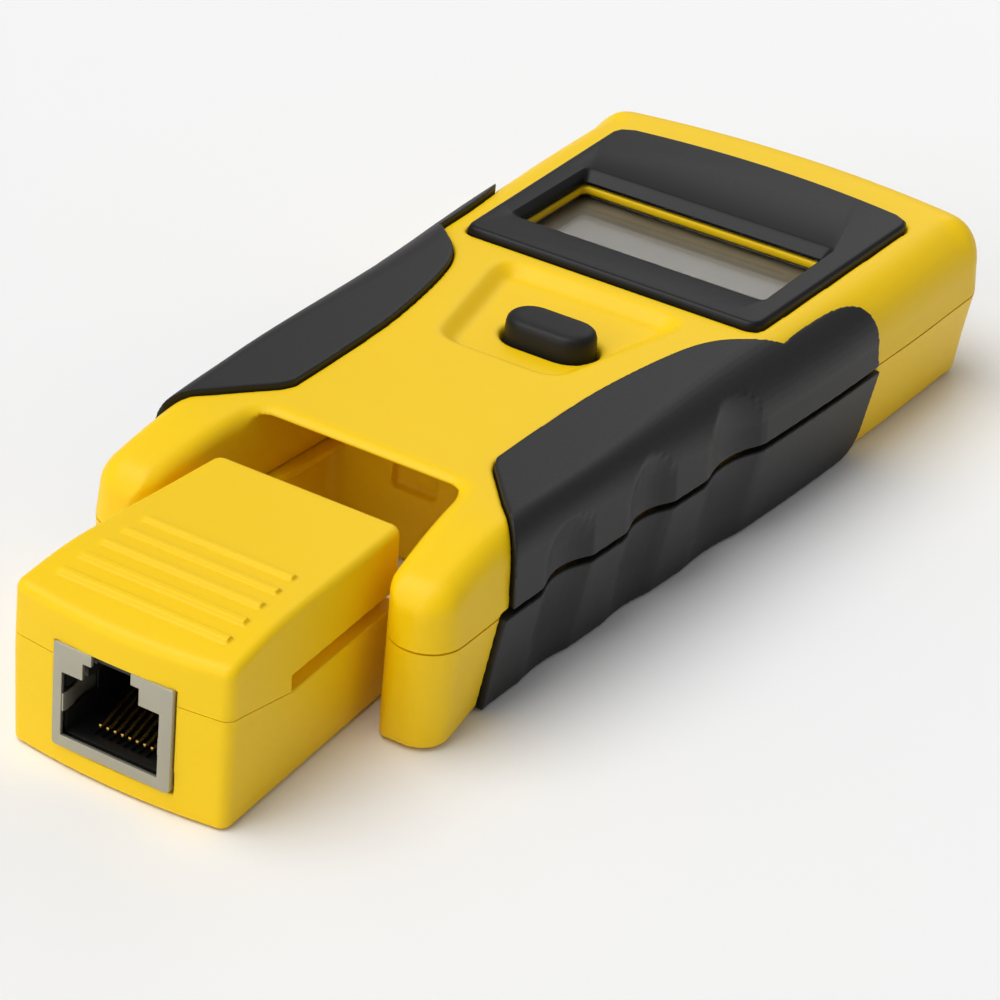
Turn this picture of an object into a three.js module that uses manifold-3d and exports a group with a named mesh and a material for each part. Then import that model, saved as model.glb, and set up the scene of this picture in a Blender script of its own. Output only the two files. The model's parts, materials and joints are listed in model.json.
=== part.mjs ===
// Hand-held network cable tester with a remote unit that slides out of a dock between two arms.
// Units are millimetres. +Z is up: the tester lies on its back with the display facing up.
// While it is built, the remote's bowed front face is near y = 0 and the display end is towards +Y.
// At the end the whole assembly is shifted so that the origin is at the centre of its base.
import * as THREE from "three";
import { mergeVertices } from "three/addons/utils/BufferGeometryUtils.js";
import Module from "manifold-3d";

const wasm = await Module();
wasm.setup();

// ---------------------------------------------------------------- driving dimensions

const GAP = 0.3; // clearance between pieces that touch on the real object

const BODY = {
  front: 25.4,
  end: 162.0,
  endBow: 2.6,
  top: 23.7,
  parting: 13.5,
  wall: 2.4,
  armEnd: 4.6,
  farCorner: 7.0,
  draft: 2.1,
  endDraft: 0.7,
  bottomEdge: 1.0,
};
const DOCK = {
  mouthHalf: 16.0,
  waistHalf: 14.4,
  backHalf: 13.8,
  back: 61.3,
  roofEdge: 45.4,
  roofUnder: 22.7,
  wall: 2.0,
  railLow: 12.35,
  railHigh: 13.3,
  railFront: 38.4,
  railTip: 12.95,
};
const GRIP = { proud: 0.7, bury: 1.4, front: 38.3, rear: 124.6, fluteDepth: 1.35 };
const FLUTES = [
  { y: 51.4, half: 4.9, top: 21.0 },
  { y: 69.0, half: 4.8, top: 22.0 },
  { y: 88.0, half: 6.2, top: 22.6 },
];
const BEZEL = { top: 24.7, seat: 22.9, near: 103.6, far: 147.2, farBow: 2.4, nearHalf: 22.3, farHalf: 23.3 };
const WINDOW = { half: 18.6, near: 112.4, far: 129.8, topHalf: 19.5, topNear: 110.6, topFar: 131.6 };
const RECESS = { floor: 22.1, near: 75.8, far: 101.0, nearHalf: 9.0, farHalf: 14.6, slope: 2.2 };
const BUTTON = { x: 1.9, y: 86.4, straight: 5.7, radius: 3.5, top: 25.1, flange: 1.2 };
const PCB = { low: 16.0, high: 17.4, half: 24.0, near: 67.0, far: 154.4 };
const JACK = { width: 16.2, height: 13.4, depth: 18.5, sheet: 0.5, proud: 0.3 };
const BAY = { half: 12.0, near: 66.4, far: 114.2, wall: 1.4, ceiling: 13.5, lid: 1.5 };
const CELL = { radius: 5.2, length: 43.0, nub: 1.9, x: 5.7, z: 7.9 };
const REMOTE = {
  front: -0.3,
  frontBow: 1.0,
  frontHalf: 15.0,
  taper: 0.049,
  rear: 35.8,
  top: 22.3,
  wall: 1.6,
  ribs: 5,
  ribPitch: 3.44,
  firstRib: 4.0,
  slotLow: 12.0,
  slotHigh: 14.1,
  slotDepth: 2.0,
  slotFront: 12.3,
  partFront: 14.3,
};
const REMOTE_JACK = { low: 2.85 };
const MAIN_JACK = { low: 2.3 };
const CASE_SCREWS = [
  [-19.4, 70],
  [19.4, 70],
  [-21, 138],
  [21, 138],
];
const REMOTE_SCREWS = [
  [-8.6, 28.6],
  [8.6, 28.6],
];

// ---------------------------------------------------------------- materials

function material(color, roughness, metalness = 0) {
  return new THREE.MeshStandardMaterial({ color, roughness, metalness });
}

const MATERIALS = {
  yellow: () => material(0xf6cf1c, 0.42),
  rubber: () => material(0x2b2b2c, 0.75),
  black: () => material(0x1b1b1c, 0.5),
  steel: () => material(0xb9b7ae, 0.35, 0.9),
  gold: () => material(0xd4a545, 0.3, 1),
  board: () => material(0x1f5a34, 0.5),
  chip: () => material(0x151515, 0.55),
  white: () => material(0xe6e4dc, 0.6),
  glass: () => material(0x77736a, 0.12),
  clear: () => material(0xdfe6e8, 0.05),
  cell: () => material(0x3a4a66, 0.35),
};

// ---------------------------------------------------------------- solids

// A closed three.js geometry as a manifold solid.
function solid(geometry) {
  const plain = geometry.clone();
  plain.deleteAttribute("normal");
  plain.deleteAttribute("uv");
  const merged = mergeVertices(plain, 1e-4);
  return new wasm.Manifold(
    new wasm.Mesh({
      numProp: 3,
      vertProperties: new Float32Array(merged.attributes.position.array),
      triVerts: new Uint32Array(merged.index.array),
    }),
  );
}

// A manifold solid as a three.js geometry with flat shading.
function geometryOf(manifold) {
  const mesh = manifold.getMesh();
  const position = new Float32Array(mesh.numVert * 3);
  for (let i = 0; i < mesh.numVert; i++) {
    const from = i * mesh.numProp;
    position.set(mesh.vertProperties.subarray(from, from + 3), i * 3);
  }
  const geometry = new THREE.BufferGeometry();
  geometry.setAttribute("position", new THREE.BufferAttribute(position, 3));
  geometry.setIndex(new THREE.BufferAttribute(new Uint32Array(mesh.triVerts), 1));
  geometry.computeVertexNormals();
  return geometry;
}

function join(first, ...others) {
  return others.reduce((sum, other) => sum.add(other), first);
}

function cut(first, ...others) {
  return others.reduce((rest, other) => rest.subtract(other), first);
}

function box(x0, x1, y0, y1, z0, z1) {
  const geometry = new THREE.BoxGeometry(x1 - x0, y1 - y0, z1 - z0);
  geometry.translate((x0 + x1) / 2, (y0 + y1) / 2, (z0 + z1) / 2);
  return solid(geometry);
}

// An upright cylinder, or a cone where the two radii differ.
function post(x, y, z0, z1, lowRadius, highRadius = lowRadius, sides = 20) {
  const geometry = new THREE.CylinderGeometry(highRadius, lowRadius, z1 - z0, sides);
  geometry.rotateX(Math.PI / 2);
  geometry.translate(x, y, (z0 + z1) / 2);
  return solid(geometry);
}

// A plan outline raised from z0 to z1.
function raise(shape, z0, z1, curveSegments = 6) {
  const geometry = new THREE.ExtrudeGeometry(shape, { depth: z1 - z0, bevelEnabled: false, curveSegments });
  geometry.translate(0, 0, z0);
  return solid(geometry);
}

// A section drawn in (x, z), run along Y from y0 to y1.
function runAlongY(shape, y0, y1) {
  const geometry = new THREE.ExtrudeGeometry(shape, { depth: y1 - y0, bevelEnabled: false });
  geometry.rotateX(Math.PI / 2);
  geometry.translate(0, y1, 0);
  return solid(geometry);
}

// A section drawn in (y, z), run along X from x0 to x1.
function runAlongX(shape, x0, x1) {
  const geometry = new THREE.ExtrudeGeometry(shape, { depth: x1 - x0, bevelEnabled: false });
  geometry.rotateX(Math.PI / 2);
  geometry.rotateZ(Math.PI / 2);
  geometry.translate(x0, 0, 0);
  return solid(geometry);
}

function polygon(points) {
  return new THREE.Shape(points.map(([x, y]) => new THREE.Vector2(x, y)));
}

// A rectangle with rounded corners, centred on (x, y).
function roundedRectangle(x, y, width, length, radius) {
  const left = x - width / 2;
  const low = y - length / 2;
  const shape = new THREE.Shape();
  shape.moveTo(left + radius, low);
  shape.lineTo(left + width - radius, low);
  shape.absarc(left + width - radius, low + radius, radius, -Math.PI / 2, 0);
  shape.lineTo(left + width, low + length - radius);
  shape.absarc(left + width - radius, low + length - radius, radius, 0, Math.PI / 2);
  shape.lineTo(left + radius, low + length);
  shape.absarc(left + radius, low + length - radius, radius, Math.PI / 2, Math.PI);
  shape.lineTo(left, low + radius);
  shape.absarc(left + radius, low + radius, radius, Math.PI, 1.5 * Math.PI);
  return shape;
}

// A dimension that is either one number or a function of y.
function at(value, y) {
  return typeof value === "function" ? value(y) : value;
}

// The same outline, moved outwards by `distance` along the corner normals.
function grown(points, distance) {
  const count = points.length;
  return points.map((point, i) => {
    const before = points[(i + count - 1) % count];
    const after = points[(i + 1) % count];
    const inward = [point[0] - before[0], point[1] - before[1]];
    const outward = [after[0] - point[0], after[1] - point[1]];
    const a = Math.hypot(...inward);
    const b = Math.hypot(...outward);
    const normal = [inward[1] / a + outward[1] / b, -inward[0] / a - outward[0] / b];
    const size = Math.hypot(...normal);
    const reach = (2 * at(distance, point[1])) / (size * size);
    return [point[0] + normal[0] * reach, point[1] + normal[1] * reach];
  });
}

// A convex outline lofted through levels of [z, inset]: rounded edges and draft in one closed solid.
function loft(outline, levels) {
  const count = outline.length;
  const centreY = outline.reduce((sum, point) => sum + point[1], 0) / count;
  const position = [];
  const index = [];
  for (const [z, inset] of levels) {
    for (const [x, y] of grown(outline, (along) => -at(inset, along))) position.push(x, y, z);
  }
  const last = levels.length - 1;
  const lowCentre = position.push(0, centreY, levels[0][0]) / 3 - 1;
  const highCentre = position.push(0, centreY, levels[last][0]) / 3 - 1;
  for (let i = 0; i < count; i++) {
    const next = (i + 1) % count;
    for (let level = 0; level < last; level++) {
      const low = level * count;
      const high = low + count;
      index.push(low + i, low + next, high + next);
      index.push(low + i, high + next, high + i);
    }
    index.push(lowCentre, next, i);
    index.push(highCentre, last * count + i, last * count + next);
  }
  const geometry = new THREE.BufferGeometry();
  geometry.setAttribute("position", new THREE.BufferAttribute(new Float32Array(position), 3));
  geometry.setIndex(index);
  return solid(geometry);
}

// Levels for loft(): a bottom fillet, drafts below and above `widest`, and a soft top edge.
function levels({ low, high, widest, bottomEdge, topRun, topRise, draft, topDraft, grow = 0 }) {
  const list = [];
  const bottomSteps = 3;
  const topSteps = 5;
  for (let i = 0; i <= bottomSteps; i++) {
    const angle = ((i / bottomSteps) * Math.PI) / 2;
    const fillet = bottomEdge * (1 - Math.sin(angle));
    list.push([low - grow + bottomEdge * (1 - Math.cos(angle)), (y) => at(draft, y) - grow + fillet]);
  }
  list.push([widest, -grow]);
  for (let i = 0; i <= topSteps; i++) {
    const angle = ((i / topSteps) * Math.PI) / 2;
    list.push([high + grow - topRise * (1 - Math.sin(angle)), topDraft - grow + topRun * (1 - Math.cos(angle))]);
  }
  return list;
}

// ---------------------------------------------------------------- the tester's outer form

// Half-width of the yellow case at the parting line, from the arms to the display end.
const SIDE = new THREE.SplineCurve(
  [
    [25.3, 30],
    [25.4, 42],
    [26.4, 60],
    [27.8, 79],
    [29.3, 97],
    [30.3, 112],
    [30.8, 124],
    [31.3, 136],
    [31.6, 152.4],
  ].map(([x, y]) => new THREE.Vector2(x, y)),
);

function arcPoints(cx, cy, radius, from, to, steps) {
  const points = [];
  for (let i = 0; i <= steps; i++) {
    const angle = THREE.MathUtils.degToRad(from + ((to - from) * i) / steps);
    points.push([cx + radius * Math.cos(angle), cy + radius * Math.sin(angle)]);
  }
  return points;
}

// The case outline seen from above, anticlockwise, without the dock.
function caseOutline() {
  const { front, end, endBow, armEnd, farCorner } = BODY;
  const side = SIDE.getPoints(14).map((p) => [p.x, p.y]);
  const [sideEndX, sideEndY] = side[side.length - 1];
  const cornerX = sideEndX - farCorner;
  const right = [
    [9, front],
    ...arcPoints(side[0][0] - armEnd, front + armEnd, armEnd, -90, -8, 4),
    ...side,
    ...arcPoints(cornerX, sideEndY, farCorner, 14, 76, 4),
    [cornerX * 0.62, end - endBow * 0.36],
    [cornerX * 0.3, end - endBow * 0.09],
  ];
  const left = right.map(([x, y]) => [-x, y]).reverse();
  return [...right, [0, end], ...left];
}

const CASE_OUTLINE = caseOutline();

// Half-width of the case at the parting line.
function sideAt(y) {
  const points = SIDE.getPoints(60);
  return points.find((point) => point.y >= y).x;
}

// How much narrower the case is at its base than at the parting line: less at its two ends.
function caseDraft(y) {
  const { front, end, draft, endDraft } = BODY;
  const { smoothstep } = THREE.MathUtils;
  const share = smoothstep(y, front + 3, front + 15) - smoothstep(y, end - 9.5, end - 3.5);
  return endDraft + (draft - endDraft) * share;
}

// The case form. `grow` makes it larger all round (the grips) or smaller (the inside).
function caseForm(grow = 0) {
  const { top, parting, bottomEdge } = BODY;
  return loft(
    CASE_OUTLINE,
    levels({
      low: 0,
      high: top,
      widest: parting,
      bottomEdge,
      topRun: 4.2,
      topRise: 5.2,
      draft: caseDraft,
      topDraft: 0.4,
      grow,
    }),
  );
}

// What is above the sloping tops of the two arms.
function aboveArms() {
  const { front, top } = BODY;
  const profile = polygon([
    [front - 3, top - 3.6],
    [front + 2.2, top - 2.6],
    [front + 9, top - 1.2],
    [front + 18, top + 0.01],
    [front + 18, top + 4],
    [front - 3, top + 4],
  ]);
  return runAlongX(profile, -40, 40);
}

// Plan outline of the dock, grown by `wall`; `reach` is how far it extends past the arms' ends.
function dockPlan(back, wall, reach) {
  const { front, armEnd } = BODY;
  const { mouthHalf, waistHalf, backHalf, roofEdge } = DOCK;
  const mouthY = front + armEnd;
  const mouth = mouthHalf + wall;
  const right = [
    [mouth + (wall ? 0 : armEnd + 0.4), front - reach],
    ...(wall ? [] : arcPoints(mouth + armEnd, mouthY, armEnd, 266, 190, 4)),
    [mouth, mouthY],
    [waistHalf + wall, roofEdge],
  ];
  if (back > roofEdge) right.push([backHalf + wall, back]);
  return polygon([...right, ...right.map(([x, y]) => [-x, y]).reverse()]);
}

// Everything that the dock removes from the case.
function dockSpace() {
  const tall = raise(dockPlan(DOCK.roofEdge, 0, 4), -1, BODY.top + 2);
  const roofed = raise(dockPlan(DOCK.back, 0, 4), -1, DOCK.roofUnder);
  return tall.add(roofed);
}

// Material round the dock, before the dock itself is cut out.
function dockWalls(z0, z1) {
  return raise(dockPlan(DOCK.back + DOCK.wall, DOCK.wall, 0), z0, z1);
}

// Rails on the dock's side walls, which run in the slots of the docked remote.
// Their tips narrow towards the back at the remote's own taper.
function dockRails() {
  const { railLow, railHigh, railFront, railTip, backHalf, back } = DOCK;
  const tipBack = railTip - REMOTE.taper * (back - railFront);
  const right = raise(
    polygon([
      [railTip + 0.6, railFront],
      [DOCK.waistHalf + 1, railFront],
      [backHalf + 0.8, back + 0.5],
      [tipBack, back + 0.5],
      [railTip, railFront + 1.2],
    ]),
    railLow,
    railHigh,
  );
  return right.add(right.mirror([1, 0, 0]));
}

// A shallow catch window in the dock's back wall.
function catchWindow() {
  return box(-4.7, 1.7, DOCK.back - 1, DOCK.back + 1.2, 9.6, 12.9);
}

function obround(x, y, straight, radius) {
  return roundedRectangle(x, y, straight + 2 * radius, 2 * radius, radius * 0.999);
}

// ---------------------------------------------------------------- grips

// Plan outline of the right-hand grip: a diagonal front edge, a waist, and a rounded rear lobe.
function gripPlan(grow) {
  const inner = new THREE.SplineCurve(
    [
      [14.4, 53.0],
      [14.5, 62.0],
      [15.1, 76.0],
      [17.2, 90.0],
      [19.6, 97.0],
      [23.6, 101.4],
    ].map(([x, y]) => new THREE.Vector2(x, y)),
  );
  const lobe = [
    [31.2, 123.9],
    [29.6, 123.1],
    [28.0, 121.4],
    [26.9, 118.4],
    [26.3, 114.0],
    [26.0, 104.0],
  ];
  const points = [
    [40, GRIP.front],
    [40, GRIP.rear],
    [33.4, GRIP.rear],
    ...lobe,
    ...inner.getPoints(10).map((p) => [p.x, p.y]).reverse(),
    [15.2, 51.2],
    [20.2, 45.2],
    [24.8, 40.4],
    [28.6, GRIP.front],
  ];
  return grown(points, grow);
}

// One finger flute: an upright scallop with a rounded top, which follows the draft below the seam.
function flute({ y, half, top }) {
  const { fluteDepth, proud } = GRIP;
  const { parting, draft } = BODY;
  const sides = 48;
  const radius = (half * half + fluteDepth * fluteDepth) / (2 * fluteDepth);
  const x = sideAt(y) + proud + radius - fluteDepth;
  const spring = top - half;
  const arch = new THREE.SphereGeometry(radius, sides, sides / 2);
  arch.translate(x, y, spring);
  const leaning = new THREE.CylinderGeometry(radius, radius, parting + 2, sides);
  leaning.rotateX(Math.PI / 2);
  leaning.translate(x, y, (parting - 2) / 2);
  const lean = draft / parting;
  leaning.applyMatrix4(new THREE.Matrix4().set(1, 0, lean, -lean * parting, 0, 1, 0, 0, 0, 0, 1, 0, 0, 0, 0, 1));
  return join(solid(arch), post(x, y, parting - 0.1, spring, radius, radius, sides), solid(leaning));
}

// Plan outline of the lower grip, which only lips a few millimetres under the case.
function lowerGripPlan(grow) {
  const { front, rear } = GRIP;
  const points = [
    [40, front],
    [40, rear],
    [26.0, rear],
    [25.4, 112],
    [23.6, 84],
    [21.8, 62],
    [21.0, 44],
    [22.2, front],
  ];
  return grown(points, grow);
}

const GRIP_SKIN = cut(caseForm(GRIP.proud), caseForm(-GRIP.bury), ...FLUTES.map(flute));
const SEAM = 0.4; // half of the wavy gap between the upper and the lower grip

function upperGrip() {
  return GRIP_SKIN.intersect(raise(polygon(gripPlan(0)), BODY.parting + SEAM, BODY.top + 2));
}

function lowerGrip() {
  return GRIP_SKIN.intersect(raise(polygon(lowerGripPlan(0)), 0, BODY.parting - SEAM));
}

// The pockets in the case that the grips are bonded into.
function gripPockets() {
  const { parting, top } = BODY;
  const upper = raise(polygon(gripPlan(GAP)), parting, top + 3);
  const lower = raise(polygon(lowerGripPlan(GAP)), -2, parting);
  const right = upper.add(lower).subtract(caseForm(-GRIP.bury - GAP));
  return right.add(right.mirror([1, 0, 0]));
}

// ---------------------------------------------------------------- case shells

function bezelPlan(grow, yNear = BEZEL.near, yFar = BEZEL.far) {
  const { nearHalf, farHalf, farBow } = BEZEL;
  const right = [
    [nearHalf - 1.2, yNear],
    [nearHalf, yNear + 1.2],
    [farHalf, yFar - 1.6],
    [farHalf - 1.5, yFar + 0.2],
    [farHalf * 0.55, yFar + farBow * 0.72],
  ];
  const left = right.map(([x, y]) => [-x, y]).reverse();
  return grown([...right, [0, yFar + farBow], ...left], grow);
}

function recessPlan(inset) {
  const { near, far, nearHalf, farHalf } = RECESS;
  const corner = 2.6;
  const right = [
    [nearHalf - corner * 0.8, near],
    [nearHalf, near + corner * 0.7],
    [farHalf, far - corner * 1.4],
    [farHalf - corner * 1.5, far],
  ];
  const left = right.map(([x, y]) => [-x, y]).reverse();
  return grown([...right, ...left], -inset);
}

// The dished recess round the button.
function recess() {
  return loft(recessPlan(0), [
    [RECESS.floor, RECESS.slope],
    [BODY.top, 0],
    [BODY.top + 2, 0],
  ]);
}

function jackHole(low, y0, y1) {
  const { width, height } = JACK;
  return box(-width / 2 - GAP, width / 2 + GAP, y0, y1, low - GAP, low + height + GAP);
}

function upperShell() {
  const { top, wall, parting } = BODY;
  const low = parting + GAP / 2;
  const dish = raise(polygon(recessPlan(-1.2)), RECESS.floor - 1.3, top - 0.5);
  const bosses = CASE_SCREWS.map(([x, y]) => post(x, y, low, top - wall + 0.5, 2.9));
  const shell = join(cut(caseForm(), caseForm(-wall)), dockWalls(low, top - 0.6), dish, ...bosses).intersect(caseForm());
  const window = box(-WINDOW.half, WINDOW.half, WINDOW.near, WINDOW.far, 15, top + 2);
  const bezelSeat = raise(polygon(bezelPlan(GAP)), BEZEL.seat - GAP, top + 3);
  const buttonHole = raise(obround(BUTTON.x, BUTTON.y, BUTTON.straight, BUTTON.radius + 0.4), 15, top + 2);
  const screwHoles = CASE_SCREWS.map(([x, y]) => post(x, y, low - 1, 20.5, 1.4, 1.4, 14));
  return cut(
    shell,
    box(-50, 50, 0, 180, -5, low),
    aboveArms(),
    dockSpace(),
    catchWindow(),
    gripPockets(),
    recess(),
    window,
    bezelSeat,
    buttonHole,
    jackHole(MAIN_JACK.low, BODY.end - JACK.depth - 1, BODY.end + 2),
    ...screwHoles,
  );
}

function lowerShell() {
  const { wall, parting } = BODY;
  const high = parting - GAP / 2;
  const { half, near, far, wall: bayWall, ceiling, lid } = BAY;
  const bayOuter = box(-half - bayWall, half + bayWall, near - bayWall, far + bayWall, 0, ceiling + 0.9);
  const bayInner = box(-half, half, near, far, -1, ceiling);
  const lidSeat = box(-half - 0.7, half + 0.7, near - 0.7, far + 0.7, -1, lid + GAP);
  const bosses = CASE_SCREWS.map(([x, y]) => post(x, y, 0, high - 0.1, 3.6));
  const counterbores = CASE_SCREWS.map(([x, y]) => post(x, y, -1, 6.2, 2.7));
  const screwHoles = CASE_SCREWS.map(([x, y]) => post(x, y, -1, high + 1, 1.4, 1.4, 14));
  const lowHalf = cut(join(cut(caseForm(), caseForm(-wall)), dockWalls(0, high), ...bosses), box(-50, 50, 0, 180, high, 40));
  return join(
    cut(
      join(lowHalf.intersect(caseForm()), bayOuter.intersect(caseForm())),
      dockSpace(),
      catchWindow(),
      gripPockets(),
      bayInner,
      lidSeat,
      jackHole(MAIN_JACK.low, BODY.end - JACK.depth - 1, BODY.end + 2),
      ...counterbores,
      ...screwHoles,
    ),
    dockRails(),
  );
}

// ---------------------------------------------------------------- display and button

function bezel() {
  const { seat, top } = BEZEL;
  const plate = loft(bezelPlan(0), [
    [seat, 0],
    [top - 0.7, 0],
    [top, 0.7],
  ]);
  const { half, near, far, topHalf, topNear, topFar } = WINDOW;
  const middle = (near + far) / 2;
  const opening = loft(
    [
      [half, near],
      [half, far],
      [-half, far],
      [-half, near],
    ].map(([x, y]) => [x, y - middle]),
    [
      [seat - 1, 0],
      [seat + 0.6, 0],
      [top + 0.01, -Math.min(topHalf - half, near - topNear, topFar - far)],
      [top + 1, -Math.min(topHalf - half, near - topNear, topFar - far)],
    ],
  ).translate([0, middle, 0]);
  return plate.subtract(opening);
}

function displayLens() {
  return raise(roundedRectangle(0, 121.2, 2 * WINDOW.half + 3.6, 21.6, 1), 20.3, 21.0);
}

function lcdPanel() {
  return raise(roundedRectangle(0, 121.2, 39.4, 20.4, 0.4), 18.9, 20.0);
}

function lcdHolder() {
  const frame = box(-22.6, 22.6, 109.2, 132.7, 17.7, 20.0);
  const seat = box(-20, 20, 110.7, 131.7, 18.6, 21);
  const opening = box(-17.6, 17.6, 114.6, 127.8, 17, 19);
  const slots = [111.2, 128.8].map((y) => box(-18.4, 18.4, y, y + 2.4, 17, 19));
  return cut(frame, seat, opening, ...slots);
}

function zebraStrip(y) {
  return box(-18.1, 18.1, y + 0.3, y + 2.1, 17.7, 18.6);
}

function mainBoard() {
  const { low, high, half, near, far } = PCB;
  const plate = raise(roundedRectangle(0, (near + far) / 2, 2 * half, far - near, 4), low, high);
  const holes = CASE_SCREWS.map(([x, y]) => post(x, y, low - 1, high + 1, 3.3));
  return cut(plate, ...holes);
}

function testButton() {
  const { x, y, straight, radius, top, flange } = BUTTON;
  const under = RECESS.floor - 1.3 - GAP;
  const cap = raise(obround(x, y, straight, radius), under - 0.4, top - 0.8);
  const shoulder = raise(obround(x, y, straight, radius - 0.35), top - 0.9, top - 0.3);
  const crown = raise(obround(x, y, straight, radius - 0.9), top - 0.4, top);
  return join(cap, shoulder, crown, raise(obround(x, y, straight, radius + flange), under - 0.8, under));
}

function switchBase() {
  const { x, y } = BUTTON;
  const base = box(x - 3, x + 3, y - 3, y + 3, PCB.high + GAP, PCB.high + 1.2);
  const legs = [-1, 1].flatMap((side) =>
    [-2.2, 2.2].map((dx) => {
      const inner = y + side * 2.8;
      const outer = y + side * 4.2;
      return box(x + dx - 0.4, x + dx + 0.4, Math.min(inner, outer), Math.max(inner, outer), PCB.high + GAP, 18.1);
    }),
  );
  return join(base, ...legs);
}

function switchPlunger() {
  return post(BUTTON.x, BUTTON.y, PCB.high + 1.5, PCB.high + 2.0, 1.7, 1.5, 20);
}

// A flat chip package with a row of leads on two sides.
function chip(x, y, width, length, leads, low, high) {
  const body = box(x - width / 2, x + width / 2, y - length / 2, y + length / 2, low + 0.1, high);
  const pitch = (length - 1.4) / (leads - 1);
  const rows = [];
  for (let i = 0; i < leads; i++) {
    const at = y - length / 2 + 0.7 + pitch * i;
    rows.push(box(x - width / 2 - 1.1, x + width / 2 + 1.1, at - 0.22, at + 0.22, low, low + 0.5));
  }
  return join(body, ...rows);
}

// ---------------------------------------------------------------- the two modular jacks


// The mouth of an eight-way jack with the latch notch on top, as seen from the front.
function mouthShape(low, notchTop) {
  const offset = -0.27; // the mouth sits a little to the left of the can's middle
  const steps = [
    [6.62, 1.5],
    [6.62, 9.75],
    [3.8, 9.75],
    [3.8, 11.9],
    [2.65, 11.9],
    [2.65, notchTop],
  ];
  const right = steps.map(([dx, dz]) => [offset + dx, low + dz]);
  const left = steps.map(([dx, dz]) => [offset - dx, low + dz]).reverse();
  return polygon([...right, ...left]);
}

// The jack built at the origin of y, facing -Y, with its face plane at y = 0.
function jackShield(low) {
  const { width, height, depth, sheet, proud } = JACK;
  const half = width / 2;
  const outer = box(-half, half, -proud, depth, low, low + height);
  const inner = box(sheet - half, half - sheet, sheet, depth + 1, low + sheet, low + height - sheet);
  const boardSlot = box(-half - 1, half + 1, 3, depth + 1, low - 1, low + 1.25);
  const mouth = runAlongY(mouthShape(low, height + 1), -1, 2);
  return cut(outer, inner, boardSlot, mouth);
}

function jackHousing(low) {
  const { width, height, depth, sheet } = JACK;
  const half = width / 2 - sheet - GAP;
  const block = box(-half, half, sheet + GAP, depth - 1, low + 1.3, low + height - sheet - GAP);
  const mouth = runAlongY(mouthShape(low, 12.2), -1, 13.5);
  const comb = contactPositions().map((x) => box(x - 0.55, x + 0.55, 2.2, 13.6, low + 1.0, low + 3));
  return cut(block, mouth, ...comb);
}

function contactPositions() {
  const pitch = 1.02;
  return [...Array(8).keys()].map((i) => pitch * (i - 3.5) - 0.2);
}

// One spring contact: a wire that rises from the front of the floor towards the back of the mouth.
function jackContact(x, low) {
  const wire = 0.32;
  const profile = polygon([
    [2.8, low + 2.0],
    [3.4, low + 2.0],
    [12.9, low + 5.3],
    [12.9, low + 5.3 + wire],
    [12.4, low + 5.3 + wire],
    [2.8, low + 2.0 + wire],
  ]);
  return runAlongX(profile, x - 0.2, x + 0.2);
}

// ---------------------------------------------------------------- batteries and their door

function batteryDoor() {
  const { half, near, far, lid } = BAY;
  const edge = 0.7 - GAP;
  const plate = box(-half - edge, half + edge, near - edge, far + edge, GAP, lid);
  const ribs = [-4, -2, 0, 2, 4].map((dy) => box(-6, 6, near + 8 + dy - 0.4, near + 8 + dy + 0.4, 0.05, GAP + 0.2));
  const latch = box(-3.5, 3.5, far - 1.7, far - GAP, lid - 0.2, lid + 2.2);
  return join(plate, latch, ...ribs);
}

// A cylindrical cell along Y with its positive nub at the +Y or -Y end.
function cell(x, facing) {
  const { radius, length, nub, z } = CELL;
  const half = length / 2;
  const profile = [
    [0, -half],
    [radius * 0.86, -half],
    [radius, -half + 0.5],
    [radius, half - 0.6],
    [radius * 0.9, half],
    [nub, half],
    [nub, half + 0.9],
    [0, half + 0.9],
  ].map(([r, y]) => new THREE.Vector2(r, y));
  const geometry = new THREE.LatheGeometry(profile, 24);
  if (facing < 0) geometry.rotateZ(Math.PI);
  geometry.translate(x, (BAY.near + BAY.far) / 2 - facing * 0.4, z);
  return solid(geometry);
}

// A coil spring contact that presses on a cell's flat end.
function coilSpring(x, facing) {
  const turns = 3;
  const wire = 0.24;
  const y0 = facing > 0 ? BAY.near + 0.95 : BAY.far - 0.95;
  const y1 = facing > 0 ? BAY.near + 1.45 : BAY.far - 1.45;
  const points = [];
  for (let i = 0; i <= turns * 10; i++) {
    const t = i / (turns * 10);
    const angle = 2 * Math.PI * turns * t;
    const radius = 3.6 - 2.1 * t;
    points.push(new THREE.Vector3(x + radius * Math.cos(angle), y0 + (y1 - y0) * t, CELL.z + radius * Math.sin(angle)));
  }
  const path = new THREE.CatmullRomCurve3(points);
  const section = new THREE.Shape();
  section.absarc(0, 0, wire, 0, 2 * Math.PI);
  const geometry = new THREE.ExtrudeGeometry(section, {
    extrudePath: path,
    steps: turns * 14,
    curveSegments: 3,
    bevelEnabled: false,
  });
  return solid(geometry);
}

function contactPlate(x, width, y) {
  return box(x - width / 2, x + width / 2, y, y + 0.25, CELL.z - 4, CELL.z + 4);
}

// ---------------------------------------------------------------- remote unit

function remoteOutline() {
  const { front, frontBow, frontHalf, taper, rear } = REMOTE;
  const corner = 1.6;
  const edge = frontHalf - corner;
  const rearHalf = frontHalf - taper * rear;
  const bow = [0, 0.3, 0.6].map((t) => [edge * t, front - frontBow * (1 - t * t)]);
  const right = [
    ...bow,
    ...arcPoints(edge, front + corner, corner, -82, 0, 3),
    ...arcPoints(rearHalf - corner, rear - corner, corner, 0, 90, 3),
  ];
  const left = right.slice(1).map(([x, y]) => [-x, y]);
  return [...right, ...left.reverse()];
}

function remoteForm() {
  const { top } = REMOTE;
  return loft(
    remoteOutline(),
    levels({ low: 0, high: top, widest: 12, bottomEdge: 0.6, topRun: 1.2, topRise: 1.2, draft: 0.2, topDraft: 0.1 }),
  );
}

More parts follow.
